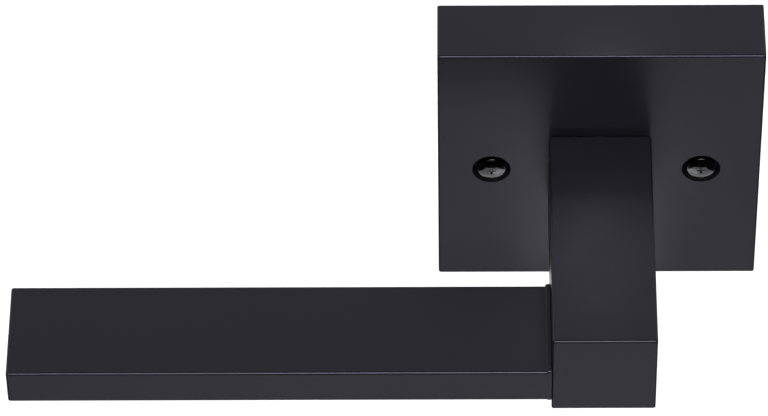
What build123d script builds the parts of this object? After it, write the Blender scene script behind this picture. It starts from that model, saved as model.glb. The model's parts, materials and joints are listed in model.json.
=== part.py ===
from build123d import *
import math
import os

# Inside half of a lever set for a tubular latch, in millimetres.
# Frame: Y is the spindle axis and the door is at +Y, Z is up, and the grip points along -X.
# The origin is where the spindle axis meets the door's face.

# Driving dimensions
ROSE_SIDE = 65.0
ROSE_DEPTH = 14.0
ROSE_WALL = 3.0
FRONT_WALL = 3.2
EDGE = 0.5

NECK_SIDE = 20.5
NECK_GAP = 0.85
LEVER_REACH = 68.9
GRIP_END = 116.8
GRIP_TOP = 0.95
GRIP_HEIGHT = 8.45
GRIP_DEPTH = 22.5
FLARE = 0.35
ROOT_BEVEL = 0.12

SHANK_R = 7.0
SPINDLE_SIDE = 8.0
SPINDLE_OUT = 24.0

BOLT_PITCH = 42.3
BOLT_ASIDE = -0.55
BOLT_DROP = 0.65
BOLT_THREAD_R = 2.08
BOLT_SHANK_R = 1.8
BOLT_HEAD_R = 2.8
BOLT_OUT = 24.0
COUNTERBORE_R = 3.9

PLATE = 1.5
SWING_DEG = 50.0

# Worked out from the driving dimensions
HALF = ROSE_SIDE / 2
NECK_HALF = NECK_SIDE / 2
FRONT = -ROSE_DEPTH
FRONT_INSIDE = FRONT + FRONT_WALL
PLATE_INSIDE = -PLATE
NECK_BACK = FRONT - NECK_GAP
LEVER_FRONT = -LEVER_REACH
GRIP_BOTTOM = GRIP_TOP - GRIP_HEIGHT
GRIP_BACK = LEVER_FRONT + GRIP_DEPTH

# Bolt heads
HEAD_HEIGHT = 3.4
HEAD_PROUD = 0.6
HEAD_FACE_R = 2.72
HEAD_DOME_R = 6.0
HEAD_SIDE = 0.75
HEAD_SEAT = FRONT - HEAD_PROUD + HEAD_HEIGHT
THREAD_START = 0.8

# Bosses in the rose
BOLT_BOSS_R = 4.8
BOLT_BOSS_END = -4.4
BOLT_HOLE_R = 2.4
KEEPER_THICK = 1.0
KEEPER_R = 4.4
CORNER = 26.0
CORNER_BOSS_R = 3.6
SCREW_R = 1.5
SCREW_LENGTH = 7.0
SCREW_HEAD_R = 2.8

# Bush, spring cassette and stops
BUSH_R = 8.0
FLANGE_R = 9.1
FLANGE_THICK = 0.6
BUSH_END = -9.5
RUNNING = 0.05
HOUSING_R = 15.6
HOUSING_FLOOR = 1.15
SPRING_BORE_R = 13.0
DRIVER_BORE_R = 14.6
LEDGE = -5.1
LUG_HALF = 2.0
WIRE_R = 0.7
COIL_R = 11.4
COIL_FRONT = -8.8
COIL_BACK = -5.92
DRIVER_R = 14.2
DRIVER_NOTCH_R = 11.0
DRIVER_FRONT = -5.0
DRIVER_BACK = -3.4
DRIVER_LUG_END = -9.0
STOP_R = 1.2
STOP_PLACE = 12.6
STOP_SLACK_DEG = 0.3
OPENING_R = 10.3

# Shank and what is on its end
SHANK_FRONT = -46.0
SHANK_BACK = -0.3
SOCKET_SLACK = 0.05
SOCKET_END = -40.0
FLAT_HALF = 6.1
RING_FRONT = -1.9
RING_BACK = -1.0
RING_GROOVE_R = 6.4
RING_R = 8.6
RING_GAP_DEG = 40.0
WASHER_R = 9.8
THRUST_THICK = 0.6

# Spindle clamp and grip joint
SET_SCREW_R = 2.5
SET_SCREW_Y = -28.0
SET_SCREW_SUNK = 0.6
SET_SCREW_KEY = 2.5
SPINDLE_FRONT = -38.0
DOWEL_R = 2.0
DOWEL_LENGTH = 24.0
DOWEL_SPREAD = 12.0


def block(x, y, z):
    """A box between two values on each axis."""
    size = [high - low for low, high in (x, y, z)]
    middle = [(high + low) / 2 for low, high in (x, y, z)]
    return Pos(*middle) * Box(*size)


def rod(radius, y0, y1, x=0.0, z=0.0):
    """A cylinder along Y."""
    return Pos(x, (y0 + y1) / 2, z) * Rot(90, 0, 0) * Cylinder(radius, abs(y1 - y0))


def upright(radius, z0, z1, x=0.0, y=0.0):
    """A cylinder along Z."""
    return Pos(x, y, (z0 + z1) / 2) * Cylinder(radius, abs(z1 - z0))


def washer(outer, inner, y0, y1, x=0.0, z=0.0):
    return rod(outer, y0, y1, x, z) - rod(inner, y0 - 1, y1 + 1, x, z)


def turned(points):
    """A solid of revolution about Y, from (radius, y) corners."""
    face = make_face(Polyline(*[(r, y) for r, y in points], close=True))
    return revolve(face, Axis.Y)


def sector(radius, half_deg, middle_deg, y0, y1):
    """A wedge about Y, its middle at an angle from +X towards +Z."""
    corners = [(0.0, 0.0)]
    steps = 8
    reach = radius / math.cos(math.radians(half_deg / steps))
    for i in range(steps + 1):
        angle = math.radians(middle_deg - half_deg + 2 * half_deg * i / steps)
        corners.append((reach * math.cos(angle), reach * math.sin(angle)))
    outline = make_face(Polyline(*[(x, y0, z) for x, z in corners], close=True))
    return extrude(outline, amount=y1 - y0, dir=(0, 1, 0))


def four_corners():
    return [(sx * CORNER, sz * CORNER) for sx in (-1, 1) for sz in (-1, 1)]


def bolt_places():
    """Where the two through-bolts' axes are, as (x, z)."""
    return [(BOLT_ASIDE + side * BOLT_PITCH / 2, -BOLT_DROP) for side in (-1, 1)]


def rose_cover():
    body = block((-HALF, HALF), (FRONT, 0), (-HALF, HALF))
    front = body.faces().sort_by(Axis.Y)[0]
    body = fillet(body.edges().filter_by(Axis.Y) + front.edges(), EDGE)
    inside = HALF - ROSE_WALL
    body -= block((-inside, inside), (FRONT_INSIDE, 1), (-inside, inside))
    for x, z in four_corners():
        body += rod(CORNER_BOSS_R, FRONT_INSIDE, PLATE_INSIDE, x, z)
        body -= rod(SCREW_R, PLATE_INSIDE - SCREW_LENGTH, PLATE_INSIDE, x, z)
    for x, z in bolt_places():
        rib = sorted((x, math.copysign(inside, x)))
        body += block(rib, (FRONT_INSIDE, BOLT_BOSS_END), (z - 1.2, z + 1.2))
        body += rod(BOLT_BOSS_R, FRONT_INSIDE, BOLT_BOSS_END, x, z)
        body -= rod(BOLT_HOLE_R, FRONT, BOLT_BOSS_END, x, z)
        body -= rod(COUNTERBORE_R, FRONT - 1, HEAD_SEAT, x, z)
    return body - rod(BUSH_R, FRONT - 1, FRONT_INSIDE + 1)


def backplate():
    inside = HALF - ROSE_WALL - 0.15
    body = block((-inside, inside), (PLATE_INSIDE, 0), (-inside, inside))
    body = fillet(body.edges().filter_by(Axis.Y), 1.5)
    body -= rod(OPENING_R, -2, 1)
    for x, z in four_corners():
        body -= Pos(x, 0, z) * countersink(SCREW_HEAD_R, SCREW_R + 0.1)
    for x, z in bolt_places():
        body -= rod(BOLT_HOLE_R, -2, 1, x, z)
    for side in (-1, 1):
        body -= rod(STOP_R, -2, 1, 0, side * STOP_PLACE)
    return body


def countersink(head_r, hole_r):
    """The hole for a countersunk screw whose head is flush at y 0."""
    depth = head_r - hole_r
    return turned([(0, 0), (head_r, 0), (hole_r, -depth), (hole_r, -2), (0, -2)])


def backplate_screws():
    shaft = SCREW_R - 0.02
    head = SCREW_HEAD_R - 0.1
    sink = 0.1
    tip = PLATE_INSIDE - SCREW_LENGTH + 0.6
    corners = [(0, -sink), (head, -sink), (shaft, -sink - head + shaft)]
    corners += [(shaft, tip + 0.5), (shaft - 0.5, tip), (0, tip)]
    screw = turned(corners) - cross_recess(1.5, 0.45, -sink)
    return Compound(children=[Pos(x, 0, z) * screw for x, z in four_corners()])


def cross_recess(reach, half_width, surface):
    """A stepped cross for a driver, cut on both sides of a surface at y."""
    cut = None
    for turn in (0, 90):
        wide = block((-reach, reach), (-0.5, 0.5), (-half_width, half_width))
        deep = block((-reach * 0.5, reach * 0.5), (-1.1, 1.1), (-half_width, half_width))
        arm = Rot(0, turn, 0) * (Pos(0, surface, 0) * (wide + deep))
        cut = arm if cut is None else cut + arm
    return cut


def dome_sag(radius):
    """How far the dome of a bolt head has fallen at a radius."""
    return HEAD_DOME_R - math.sqrt(HEAD_DOME_R**2 - radius**2)


def bolt_head(crown):
    """A domed head turned about Y: the dome, a round corner and a straight side."""
    sag = dome_sag(HEAD_FACE_R)
    shoulder = (HEAD_FACE_R, crown + sag)
    side = (BOLT_HEAD_R, crown + HEAD_SIDE)
    dome = ThreePointArc((0, crown), (HEAD_FACE_R / 2, crown + dome_sag(HEAD_FACE_R / 2)), shoulder)
    bulge = math.sqrt(0.5)
    middle_r = HEAD_FACE_R + (BOLT_HEAD_R - HEAD_FACE_R) * bulge
    middle_y = crown + HEAD_SIDE - (HEAD_SIDE - sag) * bulge
    corner = ThreePointArc(shoulder, (middle_r, middle_y), side)
    rest = Polyline(side, (BOLT_HEAD_R, HEAD_SEAT), (0, HEAD_SEAT), (0, crown))
    return revolve(make_face(dome + corner + rest), Axis.Y)


def through_bolts():
    crown = FRONT - HEAD_PROUD
    head = bolt_head(crown) - cross_recess(0.8, 0.16, crown)
    shank = rod(BOLT_SHANK_R, HEAD_SEAT, THREAD_START)
    thread = rod(BOLT_THREAD_R, THREAD_START, BOLT_OUT)
    tip = thread.faces().sort_by(Axis.Y)[-1]
    thread = chamfer(tip.edges(), 0.5)
    bolt = head + shank + thread
    return Compound(children=[Pos(x, 0, z) * bolt for x, z in bolt_places()])


def bolt_keepers():
    start = BOLT_BOSS_END + 0.1
    inner = BOLT_SHANK_R + RUNNING
    end = start + KEEPER_THICK
    return Compound(children=[washer(KEEPER_R, inner, start, end, x, z) for x, z in bolt_places()])


def bearing_bush():
    flange_face = FRONT - FLANGE_THICK
    body = rod(BUSH_R, FRONT, BUSH_END) + rod(FLANGE_R, flange_face, FRONT)
    return body - rod(SHANK_R + RUNNING, flange_face - 1, BUSH_END + 1)


def spring_housing():
    floor = FRONT_INSIDE + HOUSING_FLOOR
    body = rod(HOUSING_R, FRONT_INSIDE, PLATE_INSIDE)
    body -= rod(SPRING_BORE_R, floor, 0)
    body -= rod(DRIVER_BORE_R, LEDGE, 0)
    body -= rod(BUSH_R, FRONT, 0)
    return body + block((-LUG_HALF, LUG_HALF), (floor, LEDGE - 0.2), (-10.2, -9.3))


def return_spring():
    """A torsion spring: coils of short runs and arcs, and two legs that point at the axis."""
    leg_x = LUG_HALF + WIRE_R + RUNNING
    start = math.degrees(math.acos(leg_x / COIL_R))
    sweep_deg = 720 - 2 * (90 - start)
    steps = 30
    points = [(leg_x, COIL_FRONT, -8.0)]
    for i in range(steps + 1):
        angle = math.radians(-start + sweep_deg * i / steps)
        y = COIL_FRONT + (COIL_BACK - COIL_FRONT) * i / steps
        points.append((COIL_R * math.cos(angle), y, COIL_R * math.sin(angle)))
    points.append((-leg_x, COIL_BACK, -8.0))
    radii = [1.2] + [10.0] * (steps - 1) + [1.2]
    path = FilletPolyline(*points, radius=radii)
    section = Plane(origin=path @ 0, z_dir=path % 0) * Circle(WIRE_R)
    return sweep(section, path=path)


def spring_driver():
    body = rod(DRIVER_R, DRIVER_FRONT, DRIVER_BACK)
    notch = math.degrees(math.asin(STOP_R / STOP_PLACE)) + SWING_DEG + STOP_SLACK_DEG
    for middle in (90, 270):
        cut = sector(DRIVER_R + 1, notch, middle, DRIVER_FRONT - 1, DRIVER_BACK + 1)
        body -= cut - rod(DRIVER_NOTCH_R, DRIVER_FRONT - 2, DRIVER_BACK + 2)
    body += block((-LUG_HALF, LUG_HALF), (DRIVER_LUG_END, DRIVER_FRONT), (-8.9, -7.9))
    return body - shank_end(0.03)


def shank_end(slack):
    """The shank's keyed end, with a flat above and below."""
    body = rod(SHANK_R + slack, LEDGE, SHANK_BACK)
    for side in (-1, 1):
        cut = sorted((side * (FLAT_HALF + slack), side * 9))
        body -= block((-9, 9), (LEDGE - 1, 1), cut)
    return body


def stop_pins():
    pins = [rod(STOP_R, LEDGE + 0.2, -0.05, 0, side * STOP_PLACE) for side in (-1, 1)]
    return Compound(children=pins)


def thrust_washer():
    start = DRIVER_BACK + 0.05
    return washer(WASHER_R, SHANK_R + RUNNING, start, start + THRUST_THICK)


def wave_washer():
    start = DRIVER_BACK + 0.1 + THRUST_THICK
    return washer(WASHER_R - 0.2, SHANK_R + 0.1, start, RING_FRONT - 0.05)


def retaining_ring():
    body = washer(RING_R, RING_GROOVE_R + 0.03, RING_FRONT, RING_BACK)
    half = RING_GAP_DEG / 2
    body -= sector(RING_R + 2, half, 90, RING_FRONT - 1, RING_BACK + 1)
    for side in (-1, 1):
        angle = math.radians(90 + side * (half + 8))
        x = 8.6 * math.cos(angle)
        z = 8.6 * math.sin(angle)
        body += rod(1.3, RING_FRONT, RING_BACK, x, z)
        body -= rod(0.6, RING_FRONT - 1, RING_BACK + 1, x, z)
    return body - rod(RING_GROOVE_R + 0.03, RING_FRONT - 1, RING_BACK + 1)


def shank():
    body = rod(SHANK_R, SHANK_FRONT, LEDGE) + shank_end(0)
    body -= washer(SHANK_R + 1, RING_GROOVE_R, RING_FRONT - 0.02, RING_BACK + 0.02)
    socket = SPINDLE_SIDE / 2 + SOCKET_SLACK
    body -= block((-socket, socket), (SOCKET_END, 0), (-socket, socket))
    return body - upright(SET_SCREW_R, -SHANK_R - 1, 0, 0, SET_SCREW_Y)


def spindle():
    half = SPINDLE_SIDE / 2
    body = block((-half, half), (SPINDLE_FRONT, SPINDLE_OUT), (-half, half))
    ends = body.edges().group_by(Axis.Y)
    return chamfer(ends[0] + ends[-1], 0.7)


def dowel_places():
    middle = (LEVER_FRONT + GRIP_BACK) / 2
    return [middle + side * DOWEL_SPREAD / 2 for side in (-1, 1)]


def dowel(y, extra=0.0):
    middle = -NECK_HALF
    length = DOWEL_LENGTH + 2 * extra
    z = (GRIP_TOP + GRIP_BOTTOM) / 2
    return Pos(middle, y, z) * Rot(0, 90, 0) * Cylinder(DOWEL_R, length)


def grip_dowels():
    pins = []
    for y in dowel_places():
        pin = dowel(y)
        pins.append(chamfer(pin.edges().filter_by(GeomType.CIRCLE), 0.4))
    return Compound(children=pins)


def neck():
    sides = (-NECK_HALF, NECK_HALF)
    body = block(sides, (LEVER_FRONT, NECK_BACK), sides)
    body = fillet(body.edges(), EDGE)
    body -= rod(SHANK_R, SHANK_FRONT - 0.3, NECK_BACK + 1)
    body -= upright(SET_SCREW_R, -NECK_HALF - 1, 0, 0, SET_SCREW_Y)
    for y in dowel_places():
        body -= dowel(y, 0.2)
    return body


def spindle_set_screw():
    low = -NECK_HALF + SET_SCREW_SUNK
    high = -SPINDLE_SIDE / 2
    body = upright(SET_SCREW_R - 0.03, low, high, 0, SET_SCREW_Y)
    body = chamfer(body.edges().filter_by(GeomType.CIRCLE), 0.35)
    key = Pos(0, SET_SCREW_Y, low) * extrude(RegularPolygon(SET_SCREW_KEY / 2, 6, False), 2.4)
    return body - key


def grip():
    """The bar, and at its root a collar that stands proud of it behind, above and below."""
    tip = -GRIP_END
    root = -NECK_HALF
    bar = block((tip, root), (LEVER_FRONT, GRIP_BACK), (GRIP_BOTTOM, GRIP_TOP))
    long_edges = bar.edges().filter_by(Axis.X)
    tip_edges = bar.faces().sort_by(Axis.X)[0].edges()
    bar = fillet(long_edges + tip_edges, EDGE)
    proud = (LEVER_FRONT, GRIP_BACK + FLARE)
    height = (GRIP_BOTTOM - FLARE / 2, GRIP_TOP + FLARE)
    collar = block((root - 1.1, root), proud, height)
    collar = fillet(collar.edges().filter_by(Axis.X), EDGE)
    collar = chamfer(collar.faces().sort_by(Axis.X)[-1].edges(), ROOT_BEVEL)
    back_faces = collar.faces().sort_by(Axis.X)[0]
    slope = [e for e in back_faces.edges() if e.center().Y > LEVER_FRONT + 1]
    collar = chamfer(slope, FLARE * 0.95)
    body = bar + collar
    for y in dowel_places():
        body -= dowel(y, 0.2)
    return body


NODES = [
    rose_cover,
    backplate,
    backplate_screws,
    bearing_bush,
    spring_housing,
    return_spring,
    stop_pins,
    through_bolts,
    bolt_keepers,
    neck,
    grip,
    grip_dowels,
    shank,
    spring_driver,
    thrust_washer,
    wave_washer,
    retaining_ring,
    spindle,
    spindle_set_screw,
]


def main():
    os.makedirs("parts", exist_ok=True)
    for make in NODES:
        export_step(make(), os.path.join("parts", make.__name__ + ".step"))
        print(make.__name__)


main()
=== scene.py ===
import json
import math

import bmesh
import bpy
from mathutils import Matrix, Vector


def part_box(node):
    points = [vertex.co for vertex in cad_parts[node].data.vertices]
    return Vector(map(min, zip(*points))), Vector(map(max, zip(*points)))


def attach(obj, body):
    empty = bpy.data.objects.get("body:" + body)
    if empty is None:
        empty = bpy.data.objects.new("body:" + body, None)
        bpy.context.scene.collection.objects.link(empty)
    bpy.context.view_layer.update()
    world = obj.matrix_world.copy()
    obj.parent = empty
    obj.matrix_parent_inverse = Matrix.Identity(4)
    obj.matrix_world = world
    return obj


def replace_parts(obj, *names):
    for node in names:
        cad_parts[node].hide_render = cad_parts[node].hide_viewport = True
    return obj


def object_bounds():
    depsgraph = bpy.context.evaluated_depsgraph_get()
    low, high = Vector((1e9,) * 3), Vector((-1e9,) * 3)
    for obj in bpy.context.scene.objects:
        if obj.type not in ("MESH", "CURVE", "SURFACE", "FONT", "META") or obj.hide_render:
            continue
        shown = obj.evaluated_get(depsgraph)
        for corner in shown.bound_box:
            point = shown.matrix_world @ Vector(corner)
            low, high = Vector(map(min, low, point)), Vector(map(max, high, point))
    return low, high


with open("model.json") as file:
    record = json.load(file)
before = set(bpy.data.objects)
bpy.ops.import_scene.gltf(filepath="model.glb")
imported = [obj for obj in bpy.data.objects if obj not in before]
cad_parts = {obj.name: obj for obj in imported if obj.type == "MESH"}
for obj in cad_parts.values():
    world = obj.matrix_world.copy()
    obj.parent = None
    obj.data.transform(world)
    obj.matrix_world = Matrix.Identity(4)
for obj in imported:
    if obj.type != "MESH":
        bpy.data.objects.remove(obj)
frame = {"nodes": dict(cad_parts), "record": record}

cad_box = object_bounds()

MM = 0.001


# ---------------------------------------------------------------- camera, floor and light

VIEW_AZIMUTH = 0.052
VIEW_ELEVATION = 48.496
VIEW_ROLL = -0.205
VIEW_DISTANCE = 1.1015
VIEW_ASIDE = -0.0291
VIEW_RISE = -0.0221
LENS = 253.81
SENSOR_WIDTH = 36.0
SHIFT_X = -0.092
SHIFT_Y = 0.0214
FLOOR_DROP = 0.35
FLOOR_SIDE = 0.23
FLOOR_FRONT = -0.66
FLOOR_BACK = 2.5
BACKDROP_SEEN = 1.0
BACKDROP_LIT = 0.04
SUN_STRENGTH = 1.8
SUN_SPREAD = 60
FRONT = (0, 42, 1.4)
FRONT_WIDTH = 0.9
BACK = (180, 37, 1.6)
LEFT = (-108, 5, 1.6)
RIGHT = (108, 5, 1.6)
SIDE_SIZE = (2.0, 1.2)
SIDE_POWER = 6


def view_axes(azimuth, elevation, roll=0.0):
    """Right, up and back of a camera at these angles, in degrees."""
    az, el, turn = (math.radians(a) for a in (azimuth, elevation, roll))
    back = Vector((math.sin(az) * math.cos(el), -math.cos(az) * math.cos(el), math.sin(el)))
    right = Vector((math.cos(az), math.sin(az), 0))
    up = back.cross(right)
    tilted_right = right * math.cos(turn) + up * math.sin(turn)
    tilted_up = up * math.cos(turn) - right * math.sin(turn)
    return tilted_right, tilted_up, back


def place(obj, axes, location):
    """Turns obj so that its X, Y and Z point along axes, and puts it at location."""
    turn = Matrix((axes[0], axes[1], axes[2])).transposed()
    obj.matrix_world = Matrix.Translation(location) @ turn.to_4x4()


def add_camera():
    data = bpy.data.cameras.new("camera")
    data.lens = LENS
    data.sensor_width = SENSOR_WIDTH
    data.shift_x = SHIFT_X
    data.shift_y = SHIFT_Y
    data.clip_start = 0.01
    data.clip_end = 50.0
    camera = bpy.data.objects.new("camera", data)
    bpy.context.collection.objects.link(camera)
    right, up, back = view_axes(VIEW_AZIMUTH, VIEW_ELEVATION, VIEW_ROLL)
    location = back * VIEW_DISTANCE + right * VIEW_ASIDE + up * VIEW_RISE
    place(camera, (right, up, back), location)
    bpy.context.scene.camera = camera


def floor_material():
    """Matt white, and clear from below so that the floor doesn't hide the object's underside."""
    material = bpy.data.materials.new("floor")
    material.use_nodes = True
    tree = material.node_tree
    shader = tree.nodes["Principled BSDF"]
    shader.inputs["Base Color"].default_value = (0.9, 0.9, 0.9, 1)
    shader.inputs["Roughness"].default_value = 0.9
    shader.inputs["Specular IOR Level"].default_value = 0.0
    side = tree.nodes.new("ShaderNodeNewGeometry")
    clear = tree.nodes.new("ShaderNodeBsdfTransparent")
    mix = tree.nodes.new("ShaderNodeMixShader")
    tree.links.new(side.outputs["Backfacing"], mix.inputs[0])
    tree.links.new(shader.outputs[0], mix.inputs[1])
    tree.links.new(clear.outputs[0], mix.inputs[2])
    tree.links.new(mix.outputs[0], tree.nodes["Material Output"].inputs["Surface"])
    return material


def add_floor():
    z = cad_box[0].z - FLOOR_DROP
    corners = [(x, y, z) for x, y in ((-FLOOR_SIDE, FLOOR_FRONT), (FLOOR_SIDE, FLOOR_FRONT),
                                      (FLOOR_SIDE, FLOOR_BACK), (-FLOOR_SIDE, FLOOR_BACK))]
    mesh = bpy.data.meshes.new("floor")
    mesh.from_pydata(corners, [], [(0, 1, 2, 3)])
    floor = bpy.data.objects.new("floor", mesh)
    bpy.context.collection.objects.link(floor)
    mesh.materials.append(floor_material())


def add_panel(name, size, power):
    """A rectangular area light that the camera doesn't see."""
    data = bpy.data.lights.new(name, "AREA")
    data.shape = "RECTANGLE"
    data.size, data.size_y = size
    data.energy = power
    light = bpy.data.objects.new(name, data)
    light.visible_camera = False
    bpy.context.collection.objects.link(light)
    return light


def add_softbox(name, direction, size, power, glossy=True, diffuse=True):
    """A panel that faces the object, for its gloss, its matt colours or both.

    The direction is an azimuth and elevation in degrees and a distance in metres."""
    azimuth, elevation, distance = direction
    light = add_panel(name, size, power)
    light.visible_glossy = glossy
    light.visible_diffuse = diffuse
    axes = view_axes(azimuth, elevation)
    place(light, axes, axes[2] * distance)


def add_glow(name, size, middle, up, power):
    """A small level panel by the neck that faces up (1) or down (-1), for the sheen around it."""
    axes = (Vector((1, 0, 0)), Vector((0, -up, 0)), Vector((0, 0, -up)))
    place(add_panel(name, size, power), axes, Vector(middle))


def add_sun():
    """Soft light from straight above. It isn't seen in reflections."""
    data = bpy.data.lights.new("sun", "SUN")
    data.energy = SUN_STRENGTH
    data.angle = math.radians(SUN_SPREAD)
    sun = bpy.data.objects.new("sun", data)
    sun.visible_glossy = False
    bpy.context.collection.objects.link(sun)


def add_world():
    """White to the camera, and nearly black in reflections so that the softboxes stand out."""
    world = bpy.data.worlds.new("studio")
    world.use_nodes = True
    tree = world.node_tree
    background = tree.nodes["Background"]
    path = tree.nodes.new("ShaderNodeLightPath")
    level = tree.nodes.new("ShaderNodeMapRange")
    level.inputs["To Min"].default_value = BACKDROP_LIT
    level.inputs["To Max"].default_value = BACKDROP_SEEN
    tree.links.new(path.outputs["Is Camera Ray"], level.inputs["Value"])
    tree.links.new(level.outputs["Result"], background.inputs["Strength"])
    background.inputs["Color"].default_value = (1, 1, 1, 1)
    bpy.context.scene.world = world


def light_studio():
    bpy.context.scene.view_settings.view_transform = "Standard"
    add_world()
    add_sun()
    add_softbox("key", FRONT, size=(FRONT_WIDTH, 0.42), power=38, diffuse=False)
    add_softbox("fill", FRONT, size=(FRONT_WIDTH, 0.6), power=24, glossy=False)
    add_softbox("back", BACK, size=(3.2, 1.1), power=14.6)
    add_glow("glow_below", (0.03, 0.038), middle=(0, -0.049, -0.05), up=1, power=0.0060)
    add_glow("glow_above", (0.014, 0.026), middle=(0.002, 0.006, 0.07), up=-1, power=0.0036)
    add_softbox("left", LEFT, SIDE_SIZE, SIDE_POWER)
    add_softbox("right", RIGHT, SIDE_SIZE, SIDE_POWER)


# ---------------------------------------------------------------- materials

# Nearly all of a noise lies between these two.
NOISE_LOW = 0.3
NOISE_HIGH = 0.7


class Nodes:
    """Short calls for one material's node tree. Lengths are in metres."""

    def __init__(self, name):
        self.material = bpy.data.materials.new(name)
        self.material.use_nodes = True
        self.tree = self.material.node_tree
        self.shader = self.tree.nodes["Principled BSDF"]
        self.coords = self.new("ShaderNodeTexCoord").outputs["Object"]

    def new(self, kind, **settings):
        node = self.tree.nodes.new(kind)
        for key, value in settings.items():
            setattr(node, key, value)
        return node

    def put(self, value, socket):
        if isinstance(value, bpy.types.NodeSocket):
            self.tree.links.new(value, socket)
        else:
            socket.default_value = value

    def math(self, operation, *values):
        node = self.new("ShaderNodeMath", operation=operation)
        for i, value in enumerate(values):
            self.put(value, node.inputs[i])
        return node.outputs[0]

    def vector(self, operation, *values):
        node = self.new("ShaderNodeVectorMath", operation=operation)
        for i, value in enumerate(values):
            self.put(value, node.inputs[i])
        return node.outputs[0]

    def noise(self, size, detail=3.0, roughness=0.55, stretch=(1, 1, 1)):
        """Noise from 0 to 1 whose features are about size across."""
        scaled = self.vector("MULTIPLY", self.coords, Vector(stretch))
        node = self.new("ShaderNodeTexNoise")
        self.put(scaled, node.inputs["Vector"])
        node.inputs["Scale"].default_value = 1.0 / size
        node.inputs["Detail"].default_value = detail
        node.inputs["Roughness"].default_value = roughness
        return node.outputs["Fac"]

    def remap(self, value, low, high, to_low=0.0, to_high=1.0):
        node = self.new("ShaderNodeMapRange")
        node.interpolation_type = "SMOOTHSTEP"
        self.put(value, node.inputs["Value"])
        for name, number in zip(("From Min", "From Max", "To Min", "To Max"),
                                (low, high, to_low, to_high)):
            node.inputs[name].default_value = number
        return node.outputs["Result"]

    def spread(self, noise, low=0.0, high=1.0):
        """The usual values of a noise, stretched to run from low to high."""
        return self.remap(noise, NOISE_LOW, NOISE_HIGH, low, high)

    def mix(self, factor, one, two):
        node = self.new("ShaderNodeMix", data_type="RGBA")
        self.put(factor, node.inputs["Factor"])
        for value, name in ((one, "A"), (two, "B")):
            socket = [s for s in node.inputs if s.name == name and s.type == "RGBA"][0]
            self.put((*value, 1) if isinstance(value, tuple) else value, socket)
        return [s for s in node.outputs if s.type == "RGBA"][0]

    def bump(self, height, depth, under=None):
        """A bump whose full height is depth."""
        node = self.new("ShaderNodeBump")
        node.inputs["Strength"].default_value = 1.0
        node.inputs["Distance"].default_value = depth
        self.put(height, node.inputs["Height"])
        if under is not None:
            self.put(under, node.inputs["Normal"])
        return node.outputs["Normal"]

    def edge_distance(self, low, high):
        """How far a point on the faces of the box from low to high is from its nearest edge."""
        middle = (low + high) / 2
        half = (high - low) / 2
        from_middle = self.vector("ABSOLUTE", self.vector("SUBTRACT", self.coords, middle))
        inside = self.vector("SUBTRACT", from_middle, half)
        split = self.new("ShaderNodeSeparateXYZ")
        self.put(inside, split.inputs[0])
        x, y, z = split.outputs
        total = self.math("ADD", self.math("ADD", x, y), z)
        highest = self.math("MAXIMUM", self.math("MAXIMUM", x, y), z)
        lowest = self.math("MINIMUM", self.math("MINIMUM", x, y), z)
        second = self.math("SUBTRACT", self.math("SUBTRACT", total, highest), lowest)
        return self.math("ABSOLUTE", second)


COAT_DARK = (0.0058, 0.0056, 0.0072)
COAT_LIGHT = (0.0070, 0.0067, 0.0085)
COAT_TINT = (0.77, 0.74, 1.0, 1)
COAT_SPECULAR = 0.18
COAT_ROUGHNESS = (0.27, 0.33)
GRAIN_ROUGHNESS = 0.05
RUB_SMOOTHING = 0.05
PEEL_DEPTH = 0.004 * MM
GRAIN_DEPTH = 0.0015 * MM
RUB_WIDTH = 0.35 * MM
RUB_WANDER = 1.1 * MM


def satin_black(node):
    """Satin black powder coat: fine orange peel, faint clouding, edges rubbed a little smoother."""
    n = Nodes("satin_black_" + node)
    low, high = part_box(node)
    cloud = n.noise(28 * MM, 4)
    fine = n.noise(0.5 * MM, 4, 0.6)
    peel = n.noise(1.6 * MM, 2)
    edge = n.edge_distance(Vector(low), Vector(high))
    ragged = n.math("ADD", edge, n.math("MULTIPLY", n.noise(2.2 * MM, 5), -RUB_WANDER))
    rubbed = n.remap(ragged, -RUB_WIDTH, RUB_WIDTH, 1.0, 0.0)
    n.put(n.mix(cloud, COAT_DARK, COAT_LIGHT), n.shader.inputs["Base Color"])
    clouded = n.spread(cloud, *COAT_ROUGHNESS)
    matt = n.math("ADD", clouded, n.math("MULTIPLY", fine, GRAIN_ROUGHNESS))
    smoothing = n.math("MULTIPLY", rubbed, RUB_SMOOTHING)
    n.put(n.math("SUBTRACT", matt, smoothing), n.shader.inputs["Roughness"])
    n.shader.inputs["Specular IOR Level"].default_value = COAT_SPECULAR
    n.shader.inputs["Specular Tint"].default_value = COAT_TINT
    skin = n.bump(peel, PEEL_DEPTH)
    n.put(n.bump(fine, GRAIN_DEPTH, skin), n.shader.inputs["Normal"])
    return n.material


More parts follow.
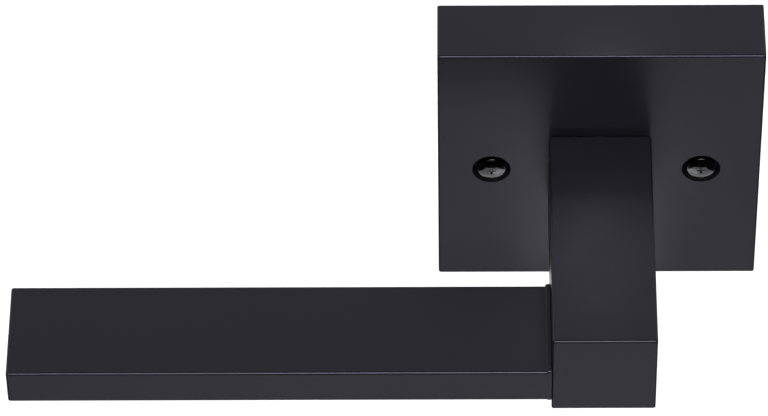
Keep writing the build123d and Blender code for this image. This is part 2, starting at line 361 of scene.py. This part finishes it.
# Each finish: darkest and lightest colour, lowest and highest roughness, the size of its grain,
# how far the grain is drawn out along X, Y and Z, and its depth. Sizes are in millimetres.
METALS = {
    "zinc_plate": (
        (0.44, 0.45, 0.47), (0.66, 0.67, 0.69), (0.26, 0.44), 0.5, (0.04, 1, 1), 0.0012),
    "zinc_screw": (
        (0.50, 0.51, 0.53), (0.72, 0.73, 0.75), (0.20, 0.34), 0.3, (1, 0.6, 1), 0.0010),
    "bare_casting": (
        (0.30, 0.30, 0.31), (0.46, 0.46, 0.47), (0.42, 0.62), 0.35, (1, 1, 1), 0.0120),
    "spring_steel": (
        (0.14, 0.14, 0.15), (0.26, 0.26, 0.27), (0.30, 0.46), 0.2, (1, 1, 1), 0.0015),
    "hardened_steel": (
        (0.36, 0.36, 0.37), (0.52, 0.52, 0.53), (0.20, 0.36), 0.2, (1, 0.1, 1), 0.0008),
    "turned_steel": (
        (0.42, 0.42, 0.43), (0.62, 0.62, 0.63), (0.24, 0.40), 0.16, (0.05, 1, 0.05), 0.0025),
    "zinc_spindle": (
        (0.46, 0.47, 0.49), (0.68, 0.69, 0.70), (0.22, 0.40), 0.35, (1, 0.03, 1), 0.0018),
    "black_screw": (
        (0.034, 0.034, 0.037), (0.058, 0.058, 0.062), (0.06, 0.14), 0.25, (1, 1, 1), 0.0008),
}


STAIN_SIZE = 2.4 * MM
STAIN_RANGE = (0.56, 0.72)
STAIN_MOST = 0.55
STAIN_SHADE = 0.6
STAIN_ROUGHNESS = 0.15
SCUFF_SIZE = 0.9 * MM
SCUFF_STRETCH = (0.25, 1, 1)
SCUFF_RANGE = (0.66, 0.74)
SCUFF_MOST = 0.5
SCUFF_SHADE = 1.25


def metal(slot):
    """Bare or plated metal: drawn or matt grain, stains and a few brighter scuffs."""
    dark, light, rough, size, stretch, depth = METALS[slot]
    n = Nodes(f"{slot}_finish")
    grain = n.noise(size * MM, 5, 0.6, stretch)
    cloud = n.noise(5 * MM, 4)
    stain = n.remap(n.noise(STAIN_SIZE, 5, 0.65), *STAIN_RANGE, 0.0, STAIN_MOST)
    scuffs = n.noise(SCUFF_SIZE, 3, 0.5, SCUFF_STRETCH)
    scuff = n.remap(scuffs, *SCUFF_RANGE, 0.0, SCUFF_MOST)
    tone = n.math("ADD", n.math("MULTIPLY", grain, 0.5), n.math("MULTIPLY", cloud, 0.5))
    colour = n.mix(n.spread(tone), dark, light)
    colour = n.mix(stain, colour, tuple(STAIN_SHADE * c for c in dark))
    colour = n.mix(scuff, colour, tuple(min(1.0, SCUFF_SHADE * c) for c in light))
    n.put(colour, n.shader.inputs["Base Color"])
    n.shader.inputs["Metallic"].default_value = 1.0
    stained = n.math("MULTIPLY", stain, STAIN_ROUGHNESS)
    n.put(n.math("ADD", n.spread(tone, *rough), stained), n.shader.inputs["Roughness"])
    n.put(n.bump(grain, depth * MM), n.shader.inputs["Normal"])
    return n.material


NYLON_DARK = (0.018, 0.018, 0.019)
NYLON_LIGHT = (0.034, 0.034, 0.035)
NYLON_ROUGHNESS = (0.42, 0.60)
NYLON_GRAIN_DEPTH = 0.006 * MM


def nylon():
    """Moulded black nylon with a fine spark-eroded grain."""
    n = Nodes("nylon_finish")
    grain = n.noise(0.18 * MM, 4, 0.6)
    cloud = n.noise(4 * MM, 3)
    n.put(n.mix(cloud, NYLON_DARK, NYLON_LIGHT), n.shader.inputs["Base Color"])
    n.put(n.spread(grain, *NYLON_ROUGHNESS), n.shader.inputs["Roughness"])
    n.put(n.bump(grain, NYLON_GRAIN_DEPTH), n.shader.inputs["Normal"])
    return n.material


finishes = {}


def finish(slot):
    """The metal or nylon of a slot, made at its first use."""
    if slot not in finishes:
        finishes[slot] = nylon() if slot == "nylon" else metal(slot)
    return finishes[slot]


def finish_node(node, slot):
    material = satin_black(node) if slot == "satin_black" else finish(slot)
    piece = frame["nodes"][node]
    piece.data.materials.clear()
    piece.data.materials.append(material)


def paint_nodes():
    for part in frame["record"]["subparts"]:
        finish_node(part["node"], part["material_slot"])


# ---------------------------------------------------------------- pieces made here

def grid_faces(rings, steps, closed_ends):
    """Quads between rings of steps points, the last ring joined to the first if closed_ends."""
    faces = []
    for i in range(rings if closed_ends else rings - 1):
        here = i * steps
        there = (i + 1) % rings * steps
        for j in range(steps):
            k = (j + 1) % steps
            faces.append((here + j, there + j, there + k, here + k))
    return faces


def add_piece(name, points, faces, body, slot):
    mesh = bpy.data.meshes.new(name)
    mesh.from_pydata(points, [], faces)
    shape = bmesh.new()
    shape.from_mesh(mesh)
    bmesh.ops.recalc_face_normals(shape, faces=shape.faces)
    shape.to_mesh(mesh)
    shape.free()
    mesh.shade_smooth()
    piece = bpy.data.objects.new(name, mesh)
    bpy.context.collection.objects.link(piece)
    mesh.materials.append(finish(slot))
    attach(piece, body)
    return piece


def clamp(value):
    return min(1.0, max(0.0, value))


BOLT_HEAD_R = 2.8 * MM
BOLT_SHANK_R = 1.8 * MM
BOLT_FACE_R = 2.72 * MM
BOLT_DOME_R = 6.0 * MM
BOLT_SIDE = 0.75 * MM
BOLT_HEAD = 3.4 * MM
BOLT_STEPS = 96
DOME_RINGS = 48
CORNER_RINGS = 10
SEAT_BEVEL_IN = 0.1 * MM
SEAT_BEVEL_BACK = 0.12 * MM
NECK_FILLET = 0.15 * MM
RECESS_REACH = 0.85 * MM
RECESS_WIDTH = 0.2 * MM
RECESS_DEPTH = 0.35 * MM
RECESS_END_SLOPE = 0.4 * MM
RECESS_SIDE_SLOPE = 0.12 * MM
THREAD_START = 0.8 * MM
THREAD_LEAD = 0.1 * MM
THREAD_R = 2.08 * MM
THREAD_ROOT_R = 1.62 * MM
THREAD_PITCH = 0.794 * MM
THREAD_ROWS = 9
THREAD_CHAMFER = 0.5 * MM
THREAD_FLANK = 2.4
THREAD_ROOT_FLAT = 0.3


def dome_sag(radius):
    """How far the dome of a bolt's head has fallen at a radius."""
    return BOLT_DOME_R - math.sqrt(BOLT_DOME_R**2 - radius**2)


def head_depth(x, z):
    """How deep the dome or its cross recess lies behind the crown at a place on a bolt's head."""
    along = max(abs(x), abs(z))
    across = min(abs(x), abs(z))
    reach = clamp((RECESS_REACH - along) / RECESS_END_SLOPE)
    width = clamp((RECESS_WIDTH - across) / RECESS_SIDE_SLOPE)
    return dome_sag(math.hypot(x, z)) + RECESS_DEPTH * reach * width


def bolt_head_rings():
    """The head's dome, corner, side and seat.

    Each ring is a function from an angle to a radius and a depth behind the crown."""
    sag = dome_sag(BOLT_FACE_R)

    def dome(radius):
        return lambda a: (radius, head_depth(radius * math.cos(a), radius * math.sin(a)))

    def edge(radius, depth):
        return lambda a: (radius, depth)

    def corner(turn):
        radius = BOLT_FACE_R + (BOLT_HEAD_R - BOLT_FACE_R) * math.sin(turn)
        return edge(radius, BOLT_SIDE - (BOLT_SIDE - sag) * math.cos(turn))

    rings = [dome(BOLT_FACE_R * i / DOME_RINGS) for i in range(1, DOME_RINGS)]
    rings += [corner(math.pi / 2 * i / CORNER_RINGS) for i in range(CORNER_RINGS + 1)]
    rings += [edge(BOLT_HEAD_R, BOLT_HEAD - SEAT_BEVEL_BACK)]
    rings += [edge(BOLT_HEAD_R - SEAT_BEVEL_IN, BOLT_HEAD)]
    rings += [edge(BOLT_SHANK_R + NECK_FILLET, BOLT_HEAD)]
    return rings + [edge(BOLT_SHANK_R, BOLT_HEAD + NECK_FILLET)]


def thread_rings(start, end):
    """A helical thread between two depths behind the crown, as rings like the head's."""
    def row(depth):
        run_in = clamp((depth - start) / THREAD_PITCH)
        tip = THREAD_R - THREAD_CHAMFER + (end - depth)

        def at(a):
            turn = (depth / THREAD_PITCH - a / math.tau) % 1.0
            crest = clamp(THREAD_FLANK * (1 - abs(2 * turn - 1)) - THREAD_ROOT_FLAT)
            radius = THREAD_ROOT_R + (THREAD_R - THREAD_ROOT_R) * crest
            blended = BOLT_SHANK_R + (radius - BOLT_SHANK_R) * run_in
            return min(blended, tip), depth
        return at

    count = round((end - start) / THREAD_PITCH * THREAD_ROWS)
    return [row(start + (end - start) * i / count) for i in range(count + 1)]


def add_bolt(name, x, z, crown, end):
    """A bolt along Y from its head's crown to its end, closed at both by a fan of triangles."""
    start = THREAD_START - crown
    rings = bolt_head_rings() + [lambda a: (BOLT_SHANK_R, start - THREAD_LEAD)]
    rings += thread_rings(start, end - crown)
    angles = [math.tau * j / BOLT_STEPS for j in range(BOLT_STEPS)]
    points = []
    for ring in rings:
        for a in angles:
            radius, depth = ring(a)
            points.append((x + radius * math.cos(a), crown + depth, z + radius * math.sin(a)))
    faces = grid_faces(len(rings), BOLT_STEPS, False)
    points += [(x, crown + head_depth(0, 0), z), (x, end, z)]
    last = (len(rings) - 1) * BOLT_STEPS
    for j in range(BOLT_STEPS):
        k = (j + 1) % BOLT_STEPS
        faces += [(len(points) - 2, j, k), (len(points) - 1, last + k, last + j)]
    return add_piece(name, points, faces, "rose", "black_screw")


def add_bolts():
    low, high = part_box("through_bolts")
    z = (low[2] + high[2]) / 2
    for name, x in (("bolt_left", low[0] + BOLT_HEAD_R), ("bolt_right", high[0] - BOLT_HEAD_R)):
        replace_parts(add_bolt(name, x, z, low[1], high[1]), "through_bolts")


WASHER_WIDTH = 2.5 * MM
WASHER_THICK = 0.3 * MM
WASHER_BEVEL = 0.06 * MM
WASHER_WAVES = 3
WASHER_STEPS = 144


def washer_section(inner, outer):
    """The washer's flat section with bevelled corners, as (radius, height) points."""
    half = WASHER_THICK / 2
    bevel = WASHER_BEVEL
    return [(inner, -half + bevel), (inner + bevel, -half),
            (outer - bevel, -half), (outer, -half + bevel),
            (outer, half - bevel), (outer - bevel, half),
            (inner + bevel, half), (inner, half - bevel)]


def add_wave_washer():
    """A thin ring bent into three waves."""
    low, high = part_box("wave_washer")
    outer = (high[0] - low[0]) / 2
    section = washer_section(outer - WASHER_WIDTH, outer)
    middle = (low[1] + high[1]) / 2
    swing = (high[1] - low[1] - WASHER_THICK) / 2
    points = []
    for i in range(WASHER_STEPS):
        a = math.tau * i / WASHER_STEPS
        lift = middle + swing * math.sin(WASHER_WAVES * a)
        points += [(r * math.cos(a), lift + y, r * math.sin(a)) for r, y in section]
    faces = grid_faces(WASHER_STEPS, len(section), True)
    washer = add_piece("wave_washer_bent", points, faces, "lever", "spring_steel")
    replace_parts(washer, "wave_washer")


add_camera()
add_floor()
light_studio()
paint_nodes()
add_bolts()
add_wave_washer()
